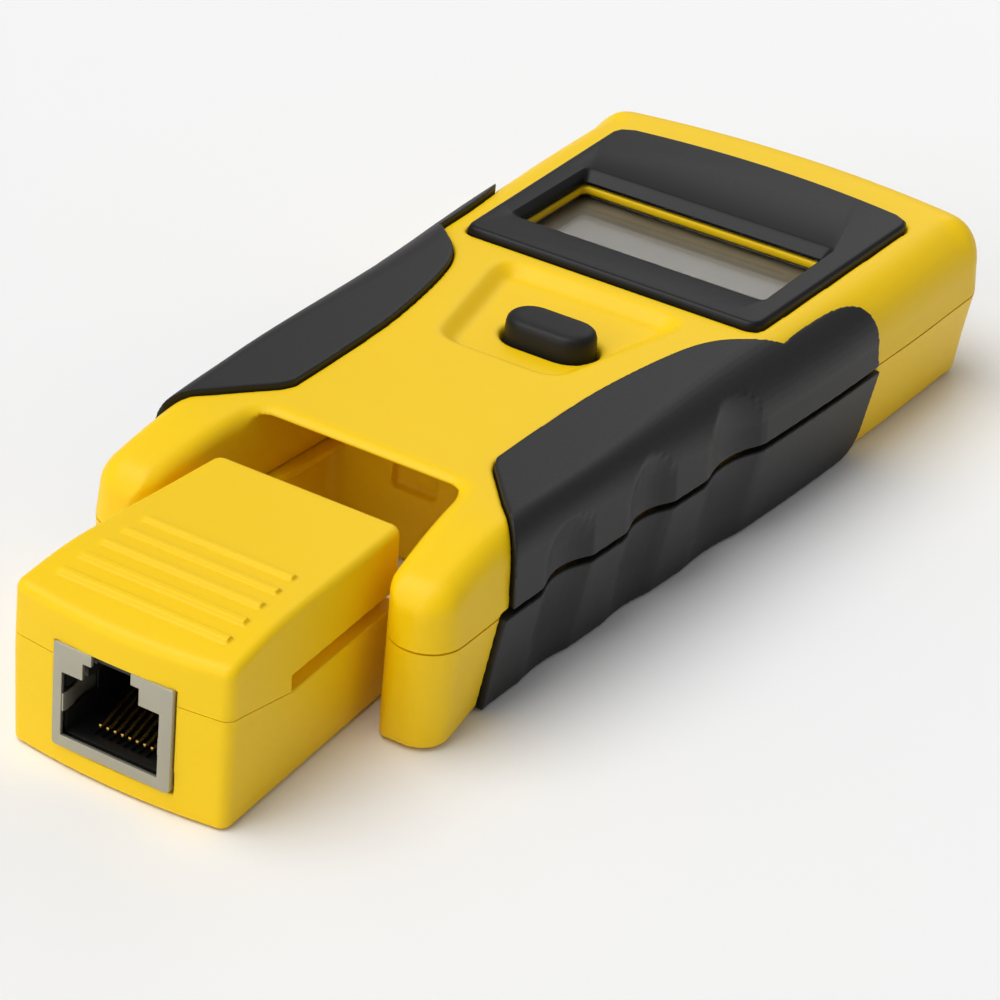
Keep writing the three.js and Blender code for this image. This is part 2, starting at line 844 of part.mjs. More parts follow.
// The remote's top rolls down towards its front face.
function aboveRemoteFront() {
  const { top } = REMOTE;
  const profile = polygon([
    [-4, top - 3.3],
    [-1.3, top - 2.9],
    [-0.2, top - 1.9],
    [2.5, top - 1.15],
    [7.0, top - 0.4],
    [12, top],
    [12, top + 4],
    [-4, top + 4],
  ]);
  return runAlongX(profile, -20, 20);
}

function remoteRibs() {
  const { ribs, ribPitch, firstRib, top } = REMOTE;
  return [...Array(ribs).keys()].map((i) => {
    const y = firstRib + ribPitch * i;
    const half = 11.4 - 0.3 * i;
    const drop = [0.95, 0.35, 0.1, 0, 0][i];
    return box(-half, half, y - 0.6, y + 0.6, top - drop - 1.2, top - drop + 0.35);
  });
}

// Everything below the remote's parting surface, lowered by `gap`.
function belowRemoteParting(gap) {
  const { partFront, slotLow, slotFront } = REMOTE;
  const profile = polygon([
    [-5, -5],
    [50, -5],
    [50, slotLow - gap],
    [slotFront, slotLow - gap],
    [1.5, partFront - gap],
    [-5, partFront - gap],
  ]);
  return runAlongX(profile, -20, 20);
}

function remoteSlots() {
  const { frontHalf, taper, rear, slotLow, slotHigh, slotDepth, slotFront } = REMOTE;
  const depthAt = (y) => frontHalf - taper * y - slotDepth;
  const right = polygon([
    [depthAt(slotFront), slotFront],
    [20, slotFront],
    [20, rear + 3],
    [depthAt(rear + 3), rear + 3],
  ]);
  const slot = raise(right, slotLow - 0.01, slotHigh);
  return slot.add(slot.mirror([1, 0, 0]));
}

function remoteInside() {
  const { wall, rear, frontHalf, taper, slotDepth, top } = REMOTE;
  const nearHalf = frontHalf - slotDepth - 1.45;
  const farHalf = nearHalf - taper * rear;
  const plan = polygon([
    [-nearHalf, 0],
    [nearHalf, 0],
    [farHalf, rear],
    [-farHalf, rear],
  ]);
  const profile = polygon([
    [wall, wall],
    [rear - wall, wall],
    [rear - wall, top - wall],
    [9, top - wall],
    [4.5, top - wall - 0.9],
    [wall, top - wall - 3.4],
  ]);
  return runAlongX(profile, -20, 20).intersect(raise(plan, 0, 30));
}

function remoteUpperShell() {
  const whole = join(remoteForm().subtract(aboveRemoteFront()), ...remoteRibs());
  const bosses = REMOTE_SCREWS.map(([x, y]) => post(x, y, REMOTE.slotLow, REMOTE.top - 1, 2.2));
  const holes = REMOTE_SCREWS.map(([x, y]) => post(x, y, 5, REMOTE.top - 3, 1.1, 1.1, 14));
  const shell = join(whole.subtract(remoteInside()), ...bosses);
  const hole = jackHole(REMOTE_JACK.low, -3, 2.4);
  return cut(shell, belowRemoteParting(-GAP / 2), remoteSlots(), hole, ...holes);
}

function remoteLowerShell() {
  const bosses = REMOTE_SCREWS.map(([x, y]) => post(x, y, 0.5, REMOTE.slotLow - GAP / 2, 2.6));
  const holes = REMOTE_SCREWS.map(([x, y]) => post(x, y, -1, 14, 1.1, 1.1, 14));
  const counterbores = REMOTE_SCREWS.map(([x, y]) => post(x, y, -1, 4.6, 2.0));
  const shell = join(remoteForm().subtract(remoteInside()), ...bosses).intersect(belowRemoteParting(GAP / 2));
  const hole = jackHole(REMOTE_JACK.low, -3, 2.4);
  return cut(shell, remoteSlots(), hole, ...holes, ...counterbores);
}

function remoteBoard() {
  const plate = raise(roundedRectangle(0, 17.6, 19, 28, 1), 1.9, 3.0);
  const holes = REMOTE_SCREWS.map(([x, y]) => post(x, y, 1, 4, 2.95));
  return cut(plate, ...holes);
}

// A pan-head screw standing on its head, with a cross recess.
function screw(x, y, low, length, shank, head) {
  const headHeight = head * 0.62;
  const profile = [
    [0, 0],
    [head * 0.82, 0],
    [head, headHeight * 0.45],
    [head, headHeight],
    [shank, headHeight],
    [shank, length - shank],
    [0, length],
  ].map(([r, z]) => new THREE.Vector2(r, z));
  const geometry = new THREE.LatheGeometry(profile, 16);
  geometry.rotateX(Math.PI / 2);
  geometry.translate(x, y, low);
  const slot = head * 0.16;
  const across = box(x - head * 0.55, x + head * 0.55, y - slot, y + slot, low - 1, low + headHeight * 0.6);
  const along = box(x - slot, x + slot, y - head * 0.55, y + head * 0.55, low - 1, low + headHeight * 0.6);
  return cut(solid(geometry), across, along);
}

// ---------------------------------------------------------------- assembly

const assembly = new THREE.Group();

function add(name, manifold, finish) {
  const mesh = new THREE.Mesh(geometryOf(manifold), MATERIALS[finish]());
  mesh.name = name;
  assembly.add(mesh);
  return mesh;
}

function addTesterCase() {
  add("upper_shell", upperShell(), "yellow");
  add("lower_shell", lowerShell(), "yellow");
  add("grip_upper_right", upperGrip(), "rubber");
  add("grip_upper_left", upperGrip().mirror([1, 0, 0]), "rubber");
  add("grip_lower_right", lowerGrip(), "rubber");
  add("grip_lower_left", lowerGrip().mirror([1, 0, 0]), "rubber");
  CASE_SCREWS.forEach(([x, y], i) => add(`case_screw_${i + 1}`, screw(x, y, 4.2, 14, 1.1, 2.2), "steel"));
}

function addDisplayAndButton() {
  add("display_bezel", bezel(), "black");
  add("display_lens", displayLens(), "clear");
  add("lcd_panel", lcdPanel(), "glass");
  add("lcd_holder", lcdHolder(), "white");
  add("zebra_strip_front", zebraStrip(111.2), "chip");
  add("zebra_strip_rear", zebraStrip(128.8), "chip");
  add("test_button", testButton(), "rubber");
  add("switch_base", switchBase(), "chip");
  add("switch_plunger", switchPlunger(), "chip");
}

function addMainElectronics() {
  add("main_board", mainBoard(), "board");
  add("controller_chip", chip(0, 125, 9, 12, 10, 13.9, 15.7), "chip");
  add("signal_chip", chip(-14, 131, 5, 8, 6, 14.2, 15.7), "chip");
}

function addBatteries() {
  const { near, far } = BAY;
  add("battery_door", batteryDoor(), "yellow");
  add("battery_cell_1", cell(-CELL.x, 1), "cell");
  add("battery_cell_2", cell(CELL.x, -1), "cell");
  add("battery_spring_1", coilSpring(-CELL.x, 1), "steel");
  add("battery_spring_2", coilSpring(CELL.x, -1), "steel");
  add("battery_plate_front", contactPlate(0, 20, near + 0.15), "steel");
  add("battery_plate_rear_left", contactPlate(-CELL.x, 8.4, far - 0.4), "steel");
  add("battery_plate_rear_right", contactPlate(CELL.x, 8.4, far - 0.4), "steel");
}

// A jack and its eight contacts, with its face at y; `turn` makes it face +Y.
function addJack(prefix, low, y, turn) {
  const place = (m) => m.rotate([0, 0, turn]).translate([0, y, 0]);
  add(`${prefix}_jack_shield`, place(jackShield(low)), "steel");
  add(`${prefix}_jack_housing`, place(jackHousing(low)), "black");
  contactPositions().forEach((x, i) => {
    add(`${prefix}_jack_contact_${i + 1}`, place(jackContact(x, low)), "gold");
  });
}

function addRemote() {
  add("remote_upper_shell", remoteUpperShell(), "yellow");
  add("remote_lower_shell", remoteLowerShell(), "yellow");
  add("remote_board", remoteBoard(), "board");
  add("remote_id_chip", chip(0, 25.4, 4, 5, 4, 3.2, 4.8), "chip");
  REMOTE_SCREWS.forEach(([x, y], i) => add(`remote_screw_${i + 1}`, screw(x, y, 3.2, 11.6, 0.8, 1.6), "steel"));
}

addTesterCase();
addDisplayAndButton();
addMainElectronics();
addBatteries();
addJack("main", MAIN_JACK.low, BODY.end - JACK.proud, 180);
addJack("remote", REMOTE_JACK.low, REMOTE.front - REMOTE.frontBow + JACK.proud, 0);
addRemote();

assembly.position.y = -(BODY.end + REMOTE.front - REMOTE.frontBow) / 2;

const root = new THREE.Group();
root.add(assembly);

export default root;
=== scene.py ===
"""Looks of a hand-held network cable tester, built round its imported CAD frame.

Pieces are modelled in millimetres and place() turns them into metres in the row frame.
In millimetres the remote's bowed front face is near y = 0, +Y runs to the display end, z = 0 is
the base and x = 0 is the plane of symmetry.
"""

import json
import math

import bpy
import numpy as np
from mathutils import Matrix, Vector


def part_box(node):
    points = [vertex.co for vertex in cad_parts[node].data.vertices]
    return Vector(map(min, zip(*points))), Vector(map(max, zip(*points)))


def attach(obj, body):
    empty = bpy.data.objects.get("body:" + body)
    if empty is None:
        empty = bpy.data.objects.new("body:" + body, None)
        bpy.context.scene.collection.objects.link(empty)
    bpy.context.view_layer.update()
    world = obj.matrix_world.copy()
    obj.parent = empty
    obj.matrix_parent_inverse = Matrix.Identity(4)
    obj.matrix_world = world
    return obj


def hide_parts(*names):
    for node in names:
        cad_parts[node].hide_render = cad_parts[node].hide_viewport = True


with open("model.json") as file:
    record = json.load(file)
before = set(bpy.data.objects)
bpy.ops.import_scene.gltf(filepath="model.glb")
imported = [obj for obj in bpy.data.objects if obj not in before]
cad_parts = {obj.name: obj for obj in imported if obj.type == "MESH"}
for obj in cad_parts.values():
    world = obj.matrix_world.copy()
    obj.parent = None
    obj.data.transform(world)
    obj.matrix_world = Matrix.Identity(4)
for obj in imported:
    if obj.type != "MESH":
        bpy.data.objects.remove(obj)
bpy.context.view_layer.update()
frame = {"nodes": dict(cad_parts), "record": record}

MM = 0.001
FACE_Y = -1.3  # how far the remote's jack reaches, in millimetres
ORIGIN_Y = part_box("remote_jack_shield")[0].y - FACE_Y * MM  # row-frame y of y = 0
TO_ROW = Matrix.Translation((0, ORIGIN_Y, 0)) @ Matrix.Scale(MM, 4)

# ---------------------------------------------------------------- dimensions, millimetres

TOP, PARTING, FRONT, END = 23.7, 13.5, 25.4, 162.0
SEAM = 0.13  # half of the gap between the upper and the lower shell
WALL = 2.4
ARM_END = 4.6
FAR_CORNER = 7.0
DRAFT, END_DRAFT, BOTTOM_EDGE = 2.1, 0.7, 1.1
DOCK_BACK, ROOF_EDGE, ROOF_UNDER = 61.3, 45.4, 22.7
DOCK_MOUTH, DOCK_WAIST, DOCK_REAR = 16.0, 14.4, 13.8
TOP_DRAFT = 0.4
GRIP_PROUD, GRIP_BURY = 0.7, 1.4
GRIP_FRONT, GRIP_REAR, GRIP_CORNER = 38.3, 124.6, 4.5
GRIP_FIT, POCKET_FIT = -0.05, 0.12  # how far a grip and its pocket are moved out from the plan
FLUTES = [(51.4, 4.9, 21.0), (69.0, 4.8, 22.0), (88.0, 6.2, 22.6)]  # centre y, half-width, top z
FLUTE_DEPTH = 1.35
BEZEL_TOP, BEZEL_SEAT = 24.7, 22.9
WINDOW = (18.6, 112.4, 129.8)  # half-width, near edge, far edge
BUTTON, BUTTON_STRAIGHT = (1.9, 86.4), 5.7
RECESS_FLOOR = 22.1
JACK_WIDTH, JACK_HEIGHT, JACK_DEPTH, JACK_PROUD, SHEET = 16.2, 13.4, 18.5, 0.3, 0.5
REMOTE_JACK_LOW, MAIN_JACK_LOW = 2.85, 2.3
MOUTH_X, MOUTH_HALF = -0.27, 6.62  # the mouth's middle is a little to the left of the can's
CONTACT_PITCH = 1.02
REMOTE_FRONT, REMOTE_BOW, REMOTE_REAR, REMOTE_TOP = -0.3, 1.0, 35.8, 22.3
REMOTE_FRONT_HALF, REMOTE_TAPER = 15.0, 0.049
REMOTE_SEAM_FRONT = 14.3  # height of the remote's seam at its front face
SLOT_LOW, SLOT_HIGH, SLOT_DEPTH, SLOT_FRONT = 12.0, 14.1, 2.0, 12.3
CASE_SCREWS = [(-19.4, 70), (19.4, 70), (-21, 138), (21, 138)]
REMOTE_SCREWS = [(-8.6, 28.6), (8.6, 28.6)]

# ---------------------------------------------------------------- outlines


def smoothstep(t):
    t = np.clip(t, 0, 1)
    return t * t * (3 - 2 * t)


def spline(points, steps):
    """Points on a Catmull-Rom curve through the given ones, `steps` to a span."""
    p = np.asarray(points, float)
    p = np.vstack([2 * p[0] - p[1], p, 2 * p[-1] - p[-2]])
    made = []
    for i in range(1, len(p) - 2):
        a, b, c, d = p[i - 1 : i + 3]
        for t in np.arange(steps) / steps:
            made.append(
                0.5
                * (
                    2 * b
                    + (c - a) * t
                    + (2 * a - 5 * b + 4 * c - d) * t**2
                    + (3 * b - a - 3 * c + d) * t**3
                )
            )
    return np.vstack([made, p[-2]])


def arc(cx, cy, radius, start, end, steps=8):
    angles = np.radians(np.linspace(start, end, steps + 1))
    return np.column_stack([cx + radius * np.cos(angles), cy + radius * np.sin(angles)])


ROUND_SIDES = 32
CIRCLE = arc(0, 0, 1, 0, 360, ROUND_SIDES)[:-1]


def mirrored(right):
    """A closed outline from its right-hand half, which runs from the front to the rear."""
    right = np.vstack([np.atleast_2d(r) for r in right])
    left = right[::-1] * [-1, 1]
    both = np.vstack([right, left])
    keep = np.linalg.norm(both - np.roll(both, 1, axis=0), axis=1) > 1e-6
    return both[keep]


def dense(outline, step):
    """The closed outline with no segment longer than `step`."""
    made = []
    for a, b in zip(outline, np.roll(outline, -1, axis=0)):
        parts = max(1, math.ceil(np.linalg.norm(b - a) / step))
        made += [a + (b - a) * i / parts for i in range(parts)]
    return np.array(made)


def rounded(points, radius, steps=6):
    """A closed polygon with each corner rounded; radius is a number or one for each corner."""
    p = np.asarray(points, float)
    radii = np.broadcast_to(radius, (len(p),))
    made = []
    for i, corner in enumerate(p):
        to_before, to_after = p[i - 1] - corner, p[(i + 1) % len(p)] - corner
        a, b = to_before / np.linalg.norm(to_before), to_after / np.linalg.norm(to_after)
        half = math.acos(float(np.clip(a @ b, -1, 1))) / 2
        if radii[i] <= 0 or half > 1.55:
            made.append(corner)
            continue
        reach = radii[i] / math.tan(half)
        start, end = corner + a * reach, corner + b * reach
        for t in np.linspace(0, 1, steps + 1):
            blend = (1 - t) ** 2 * start + 2 * t * (1 - t) * corner + t**2 * end
            made.append(blend)
    return np.array(made)


def grown(outline, distance):
    """The closed outline moved outwards; distance is a number or one for each point."""
    p = np.asarray(outline, float)
    before = p - np.roll(p, 1, axis=0)
    after = np.roll(p, -1, axis=0) - p
    before /= np.linalg.norm(before, axis=1)[:, None]
    after /= np.linalg.norm(after, axis=1)[:, None]
    normal = np.column_stack([before[:, 1] + after[:, 1], -before[:, 0] - after[:, 0]])
    reach = 2 * np.asarray(distance) / (normal**2).sum(1)
    return p + normal * reach[:, None]


# ---------------------------------------------------------------- mesh solids


def mesh_object(name, vertices, faces):
    mesh = bpy.data.meshes.new(name)
    mesh.from_pydata([tuple(v) for v in vertices], [], faces)
    mesh.update()
    made = bpy.data.objects.new(name, mesh)
    bpy.context.scene.collection.objects.link(made)
    return made


def through_rings(rings):
    """A closed solid through rings of the same number of 3-D points, from the lowest up."""
    count = len(rings[0])
    faces = [list(range(count))[::-1]]
    for level in range(len(rings) - 1):
        low, high = level * count, (level + 1) * count
        for i in range(count):
            j = (i + 1) % count
            faces.append([low + i, low + j, high + j, high + i])
    top = (len(rings) - 1) * count
    faces.append([top + i for i in range(count)])
    return mesh_object("solid", np.vstack(rings), faces)


def loft(outline, levels, nudge=None):
    """A closed solid over an outline, through levels of (z, inset); nudge adds to the inset."""
    rings = []
    for z, inset in levels:
        z = np.broadcast_to(np.asarray(z, float), (len(outline),))
        if nudge is not None:
            inset = inset + nudge(outline[:, 1], z)
        rings.append(np.column_stack([grown(outline, -np.asarray(inset, float)), z]))
    return through_rings(rings)


def foot(low, inset, radius, steps):
    """Levels round a bottom edge, from its flat up to its side."""
    angles = np.linspace(0, math.pi / 2, steps)
    return [(low + radius * (1 - math.cos(a)), inset + radius * (1 - math.sin(a))) for a in angles]


def brow(high, inset, rise, run, steps):
    """Levels round a top edge, from its side up to its flat."""
    angles = np.linspace(0, math.pi / 2, steps)
    return [(high - rise * (1 - math.sin(a)), inset + run * (1 - math.cos(a))) for a in angles]


def prism(outline, z0, z1):
    return loft(np.asarray(outline, float), [(z0, 0), (z1, 0)])


def box(x0, x1, y0, y1, z0, z1):
    return prism([(x0, y0), (x1, y0), (x1, y1), (x0, y1)], z0, z1)


def turned(x, y, profile):
    """A round solid standing at (x, y), through levels of (radius, z)."""
    return through_rings(
        [np.column_stack([CIRCLE * r + [x, y], np.full(ROUND_SIDES, z)]) for r, z in profile]
    )


def post(x, y, z0, z1, radius):
    return turned(x, y, [(radius, z0), (radius, z1)])


def along_x(section, x0, x1):
    """A section drawn in (y, z), run along X."""
    made = prism(section, x0, x1)
    turn_axes(made, lambda p: np.column_stack([p[:, 2], p[:, 0], p[:, 1]]))
    return made


def along_y(section, y0, y1):
    """A section drawn in (x, z), run along Y."""
    made = prism(section, -y1, -y0)
    turn_axes(made, lambda p: np.column_stack([p[:, 0], -p[:, 2], p[:, 1]]))
    return made


def coordinates(piece):
    co = np.empty(len(piece.data.vertices) * 3, np.float32)
    piece.data.vertices.foreach_get("co", co)
    return co.reshape(-1, 3).astype(float)


def turn_axes(piece, change):
    piece.data.vertices.foreach_set("co", change(coordinates(piece)).astype(np.float32).ravel())
    piece.data.update()
    return piece


def copy_of(piece, mirror=False):
    made = bpy.data.objects.new(piece.name, piece.data.copy())
    bpy.context.scene.collection.objects.link(made)
    if mirror:
        made.data.transform(Matrix.Scale(-1, 4, (1, 0, 0)))
        made.data.flip_normals()
    return made


def both_sides(piece):
    return [piece, copy_of(piece, mirror=True)]


def settle(piece):
    """Applies the piece's modifiers to its mesh."""
    graph = bpy.context.evaluated_depsgraph_get()
    mesh = bpy.data.meshes.new_from_object(piece.evaluated_get(graph))
    piece.modifiers.clear()
    piece.data = mesh
    return piece


def combine(base, tools, operation):
    for tool in tools:
        change = base.modifiers.new("combine", "BOOLEAN")
        change.operation = operation
        change.solver = "MANIFOLD"
        change.object = tool
    settle(base)
    for tool in tools:
        bpy.data.objects.remove(tool)
    return base


def cut(base, *tools):
    return combine(base, tools, "DIFFERENCE")


def join(base, *tools):
    return combine(base, tools, "UNION")


def within(base, *tools):
    return combine(base, tools, "INTERSECT")


def moulded(piece, voxel, rounds, warp=None, share=1.0):
    """Rounds every edge of a solid as a moulding has it: an even fine mesh, smoothed."""
    remesh = piece.modifiers.new("remesh", "REMESH")
    remesh.mode = "VOXEL"
    remesh.voxel_size = voxel
    settle(piece)
    if warp is not None:
        turn_axes(piece, warp)
    smooth = piece.modifiers.new("smooth", "SMOOTH")
    smooth.factor = 0.5
    smooth.iterations = rounds
    settle(piece)
    if share < 1:
        reduce = piece.modifiers.new("reduce", "DECIMATE")
        reduce.ratio = share
        settle(piece)
    return piece


def bevelled(piece, width, segments=3):
    bevel = piece.modifiers.new("bevel", "BEVEL")
    bevel.width = width
    bevel.segments = segments
    bevel.limit_method = "ANGLE"
    bevel.angle_limit = math.radians(35)
    return settle(piece)


def place(piece, name, body, nodes, slot, sharp=None):
    """Hands a finished piece over: metres, row frame, its body, its CAD nodes and its finish.

    sharp is the angle in degrees above which an edge is shaded sharp."""
    piece.name = name
    piece.data.name = name
    piece.data.transform(TO_ROW)
    piece.data.materials.clear()
    piece.data.materials.append(SLOT_FINISH[slot])
    piece.data.shade_smooth()
    if sharp:
        piece.data.set_sharp_from_angle(angle=math.radians(sharp))
    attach(piece, body)
    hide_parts(*nodes)
    return piece


# ---------------------------------------------------------------- materials


def linear(red, green, blue):
    def one(value):
        value /= 255
        return value / 12.92 if value <= 0.04045 else ((value + 0.055) / 1.055) ** 2.4

    return (one(red), one(green), one(blue), 1)


def finish(
    name, color, roughness, grain=(900, 0.1, 0.05), mottle=(60, 0.04), metallic=0.0, **sockets
):
    """A surface with a fine grain in its relief, and a slight mottle in colour and gloss.

    grain is (scale, strength, depth in mm); mottle is (scale, share of the colour)."""
    material = bpy.data.materials.new(name)
    material.use_nodes = True
    nodes, links = material.node_tree.nodes, material.node_tree.links
    shader = nodes["Principled BSDF"]
    shader.inputs["Metallic"].default_value = metallic
    for socket, value in sockets.items():
        shader.inputs[socket.replace("_", " ")].default_value = value
    place_on = nodes.new("ShaderNodeTexCoord")
    coarse = nodes.new("ShaderNodeTexNoise")
    coarse.inputs["Scale"].default_value = mottle[0]
    coarse.inputs["Detail"].default_value = 4
    links.new(place_on.outputs["Object"], coarse.inputs["Vector"])
    shade = nodes.new("ShaderNodeValToRGB")
    shade.color_ramp.elements[0].position = 0.3
    shade.color_ramp.elements[1].position = 0.7
    shade.color_ramp.elements[0].color = [c * (1 - mottle[1]) for c in color[:3]] + [1]
    shade.color_ramp.elements[1].color = [min(1, c * (1 + mottle[1])) for c in color[:3]] + [1]
    links.new(coarse.outputs["Fac"], shade.inputs["Fac"])
    links.new(shade.outputs["Color"], shader.inputs["Base Color"])
    fine = nodes.new("ShaderNodeTexNoise")
    fine.inputs["Scale"].default_value = grain[0]
    fine.inputs["Detail"].default_value = 3
    links.new(place_on.outputs["Object"], fine.inputs["Vector"])
    gloss = nodes.new("ShaderNodeMapRange")
    gloss.inputs["To Min"].default_value = max(0, roughness - 0.04)
    gloss.inputs["To Max"].default_value = min(1, roughness + 0.04)
    links.new(fine.outputs["Fac"], gloss.inputs["Value"])
    links.new(gloss.outputs["Result"], shader.inputs["Roughness"])
    relief = nodes.new("ShaderNodeBump")
    relief.inputs["Strength"].default_value = grain[1]
    relief.inputs["Distance"].default_value = grain[2] * MM
    links.new(fine.outputs["Fac"], relief.inputs["Height"])
    links.new(relief.outputs["Normal"], shader.inputs["Normal"])
    return material


YELLOW = finish(
    "yellow_abs",
    linear(250, 206, 0),
    0.45,
    grain=(2600, 0.2, 0.015),
    mottle=(30, 0.015),
    Specular_IOR_Level=0.3,
    Subsurface_Weight=0.08,
    Subsurface_Scale=0.0012,
    Subsurface_Radius=(1.0, 0.55, 0.1),
)
GRIP = finish(
    "grip_rubber",
    linear(22, 22, 22),
    0.5,
    grain=(1800, 0.25, 0.02),
    mottle=(1400, 0.12),
    Specular_IOR_Level=0.42,
)
BEZEL = finish(
    "bezel_black",
    linear(14, 14, 15),
    0.4,
    grain=(2400, 0.2, 0.02),
    mottle=(80, 0.06),
    Specular_IOR_Level=0.25,
)
BUTTON_RUBBER = finish(
    "button_rubber", linear(20, 20, 21), 0.5, grain=(2400, 0.3, 0.02), Specular_IOR_Level=0.3
)
JACK_METAL = finish(
    "jack_metal", linear(176, 172, 154), 0.42, grain=(1500, 0.12, 0.02), metallic=0.7
)
JACK_BLACK = finish("jack_black", linear(18, 18, 18), 0.45, grain=(1500, 0.2, 0.02))
GOLD = finish("contact_gold", linear(226, 184, 96), 0.25, grain=(1500, 0.05, 0.01), metallic=1.0)
SCREW_STEEL = finish(
    "screw_steel", linear(170, 172, 174), 0.32, grain=(1800, 0.2, 0.02), metallic=1.0
)
STEEL = finish("contact_steel", linear(190, 190, 186), 0.3, grain=(1200, 0.1, 0.01), metallic=1.0)
BOARD = finish("board_green", linear(24, 96, 50), 0.4, grain=(700, 0.3, 0.03), mottle=(350, 0.2))
CHIP = finish("chip_black", linear(24, 24, 25), 0.5, grain=(2600, 0.4, 0.02))
CELL = finish("cell_wrap", linear(52, 66, 98), 0.28, grain=(300, 0.05, 0.02), mottle=(120, 0.1))
WHITE = finish("frame_white", linear(226, 224, 214), 0.5)
ZEBRA = finish("zebra_black", linear(40, 40, 42), 0.7, grain=(3000, 0.5, 0.03))
LCD = finish(
    "lcd_grey",
    linear(128, 119, 106),
    0.22,
    grain=(2600, 0.06, 0.01),
    mottle=(25, 0.06),
    Specular_IOR_Level=0.2,
)
LENS = finish(
    "lens_clear",
    linear(244, 246, 246),
    0.04,
    grain=(40, 0.01, 0.01),
    mottle=(20, 0.005),
    Transmission_Weight=1.0,
    IOR=1.2,
)

SLOT_FINISH = {
    "yellow_abs": YELLOW,
    "grip_rubber": GRIP,
    "bezel_black": BEZEL,
    "lens_clear": LENS,
    "lcd_grey": LCD,
    "frame_white": WHITE,
    "zebra_black": ZEBRA,
    "button_rubber": BUTTON_RUBBER,
    "switch_steel": STEEL,
    "switch_black": CHIP,
    "board_green": BOARD,
    "chip_black": CHIP,
    "cell_wrap": CELL,
    "contact_steel": STEEL,
    "screw_steel": SCREW_STEEL,
    "jack_metal": JACK_METAL,
    "jack_black": JACK_BLACK,
    "contact_gold": GOLD,
}
# Most of these nodes are replaced below. The inner ones stay, and wear these finishes.
for part in frame["record"]["subparts"]:
    node = frame["nodes"][part["node"]]
    node.data.materials.clear()
    node.data.materials.append(SLOT_FINISH[part["material_slot"]])

# ---------------------------------------------------------------- the case's outer form

SIDE = [(25.3, 30), (25.4, 42), (26.4, 60), (27.8, 79), (29.3, 97)]  # right edge from above
SIDE += [(30.3, 112), (30.8, 124), (31.3, 136), (31.6, 152.4)]


def case_outline():
    """The case from above, anticlockwise, as if the dock were filled."""
    side = spline(SIDE, 8)
    corner_x, corner_y = side[-1][0] - FAR_CORNER, side[-1][1]
    corner = arc(corner_x, corner_y, FAR_CORNER, 4, 76, 14)
    edge_x, edge_y = corner[-1]
    bow_x = np.linspace(edge_x, 0, 14)[1:]
    bow = np.column_stack([bow_x, END - (END - edge_y) * (bow_x / edge_x) ** 2])
    tip = arc(side[0][0] - ARM_END, FRONT + ARM_END, ARM_END, -90, -6, 9)
    return dense(mirrored([(9, FRONT), tip, side, corner, bow]), 1.6)


OUTLINE = case_outline()


def flute_depth(y, z):
    """How far the finger flutes sink into the grips at a height."""
    depth = np.zeros(np.broadcast(y, z).shape)
    for centre, half, top in FLUTES:
        radius = (half**2 + FLUTE_DEPTH**2) / (2 * FLUTE_DEPTH)
        above = np.maximum(0, z - (top - half))
        square = np.maximum(0, radius**2 - (y - centre) ** 2 - above**2)
        depth = np.maximum(depth, np.sqrt(square) - (radius - FLUTE_DEPTH))
    return depth * (0.35 + 0.65 * smoothstep(z / 7))


def case_form(grow=0.0, nudge=None):
    """The rounded, slightly drafted form: soft at the display end and tighter on the arms."""
    y = OUTLINE[:, 1]
    softness = smoothstep((y - 55) / 45) - 0.6 * smoothstep((y - 150) / 8)
    run = 3.4 + 4.0 * softness
    rise = 4.6 + 3.0 * softness
    sides_only = smoothstep((y - 28.4) / 12) - smoothstep((y - 152.5) / 6)
    draft = END_DRAFT + (DRAFT - END_DRAFT) * sides_only
    levels = foot(-grow, draft - grow, BOTTOM_EDGE, 7)
    low, high = BOTTOM_EDGE - grow, TOP + grow - rise
    for t in np.linspace(0, 1, 8)[1:]:
        levels.append((low + (PARTING - BOTTOM_EDGE + grow) * t, draft * (1 - t) - grow))
    for t in np.linspace(0, 1, 5)[1:-1]:
        levels.append((PARTING + (high - PARTING) * t, TOP_DRAFT * t - grow))
    levels += brow(TOP + grow, TOP_DRAFT - grow, rise, run, 13)
    return loft(OUTLINE, levels, nudge)


ARM_SLOPE = [(16, 17.6), (22, 19.3), (27.5, 20.9), (33, 22.3), (39, 23.35), (45, TOP), (52, TOP)]
ARM_SLOPE = spline(ARM_SLOPE, 8)  # y and the height of the arms' tops


def arms_fall(points):
    """Lowers the tops of the arms towards their ends."""
    high = np.interp(points[:, 1], ARM_SLOPE[:, 0], ARM_SLOPE[:, 1])
    share = (high - PARTING) / (TOP - PARTING)
    above = points[:, 2] > PARTING
    points[above, 2] = PARTING + (points[above, 2] - PARTING) * share[above]
    return points


# ---------------------------------------------------------------- dock, grips and recess


def dock_mouth_half():
    """Right half of the open part of the dock, flared round the arms' ends."""
    mouth_y = FRONT + ARM_END
    corner = 2.2
    return [
        (DOCK_MOUTH + ARM_END + 0.4, FRONT - 5),
        arc(DOCK_MOUTH + ARM_END, mouth_y, ARM_END, 268, 186, 10),
        arc(DOCK_WAIST - corner, ROOF_EDGE - corner, corner, 2, 90, 6),
    ]


def dock_space():
    """The dock and the soft rim round its open top."""
    rim = 2.4
    outline = dense(mirrored(dock_mouth_half()), 1.5)
    levels = [(-2, 0), (TOP - rim, 0), *brow(TOP, 0, rim, -rim, 8)[1:], (TOP + 3, -rim)]
    roofed = mirrored(
        [
            (DOCK_WAIST + 0.35, ROOF_EDGE - 8),
            (DOCK_WAIST, ROOF_EDGE),
            arc(DOCK_REAR - 1.2, DOCK_BACK - 1.2, 1.2, 2, 90, 4),
        ]
    )
    return [loft(outline, levels), prism(roofed, -2, ROOF_UNDER)]


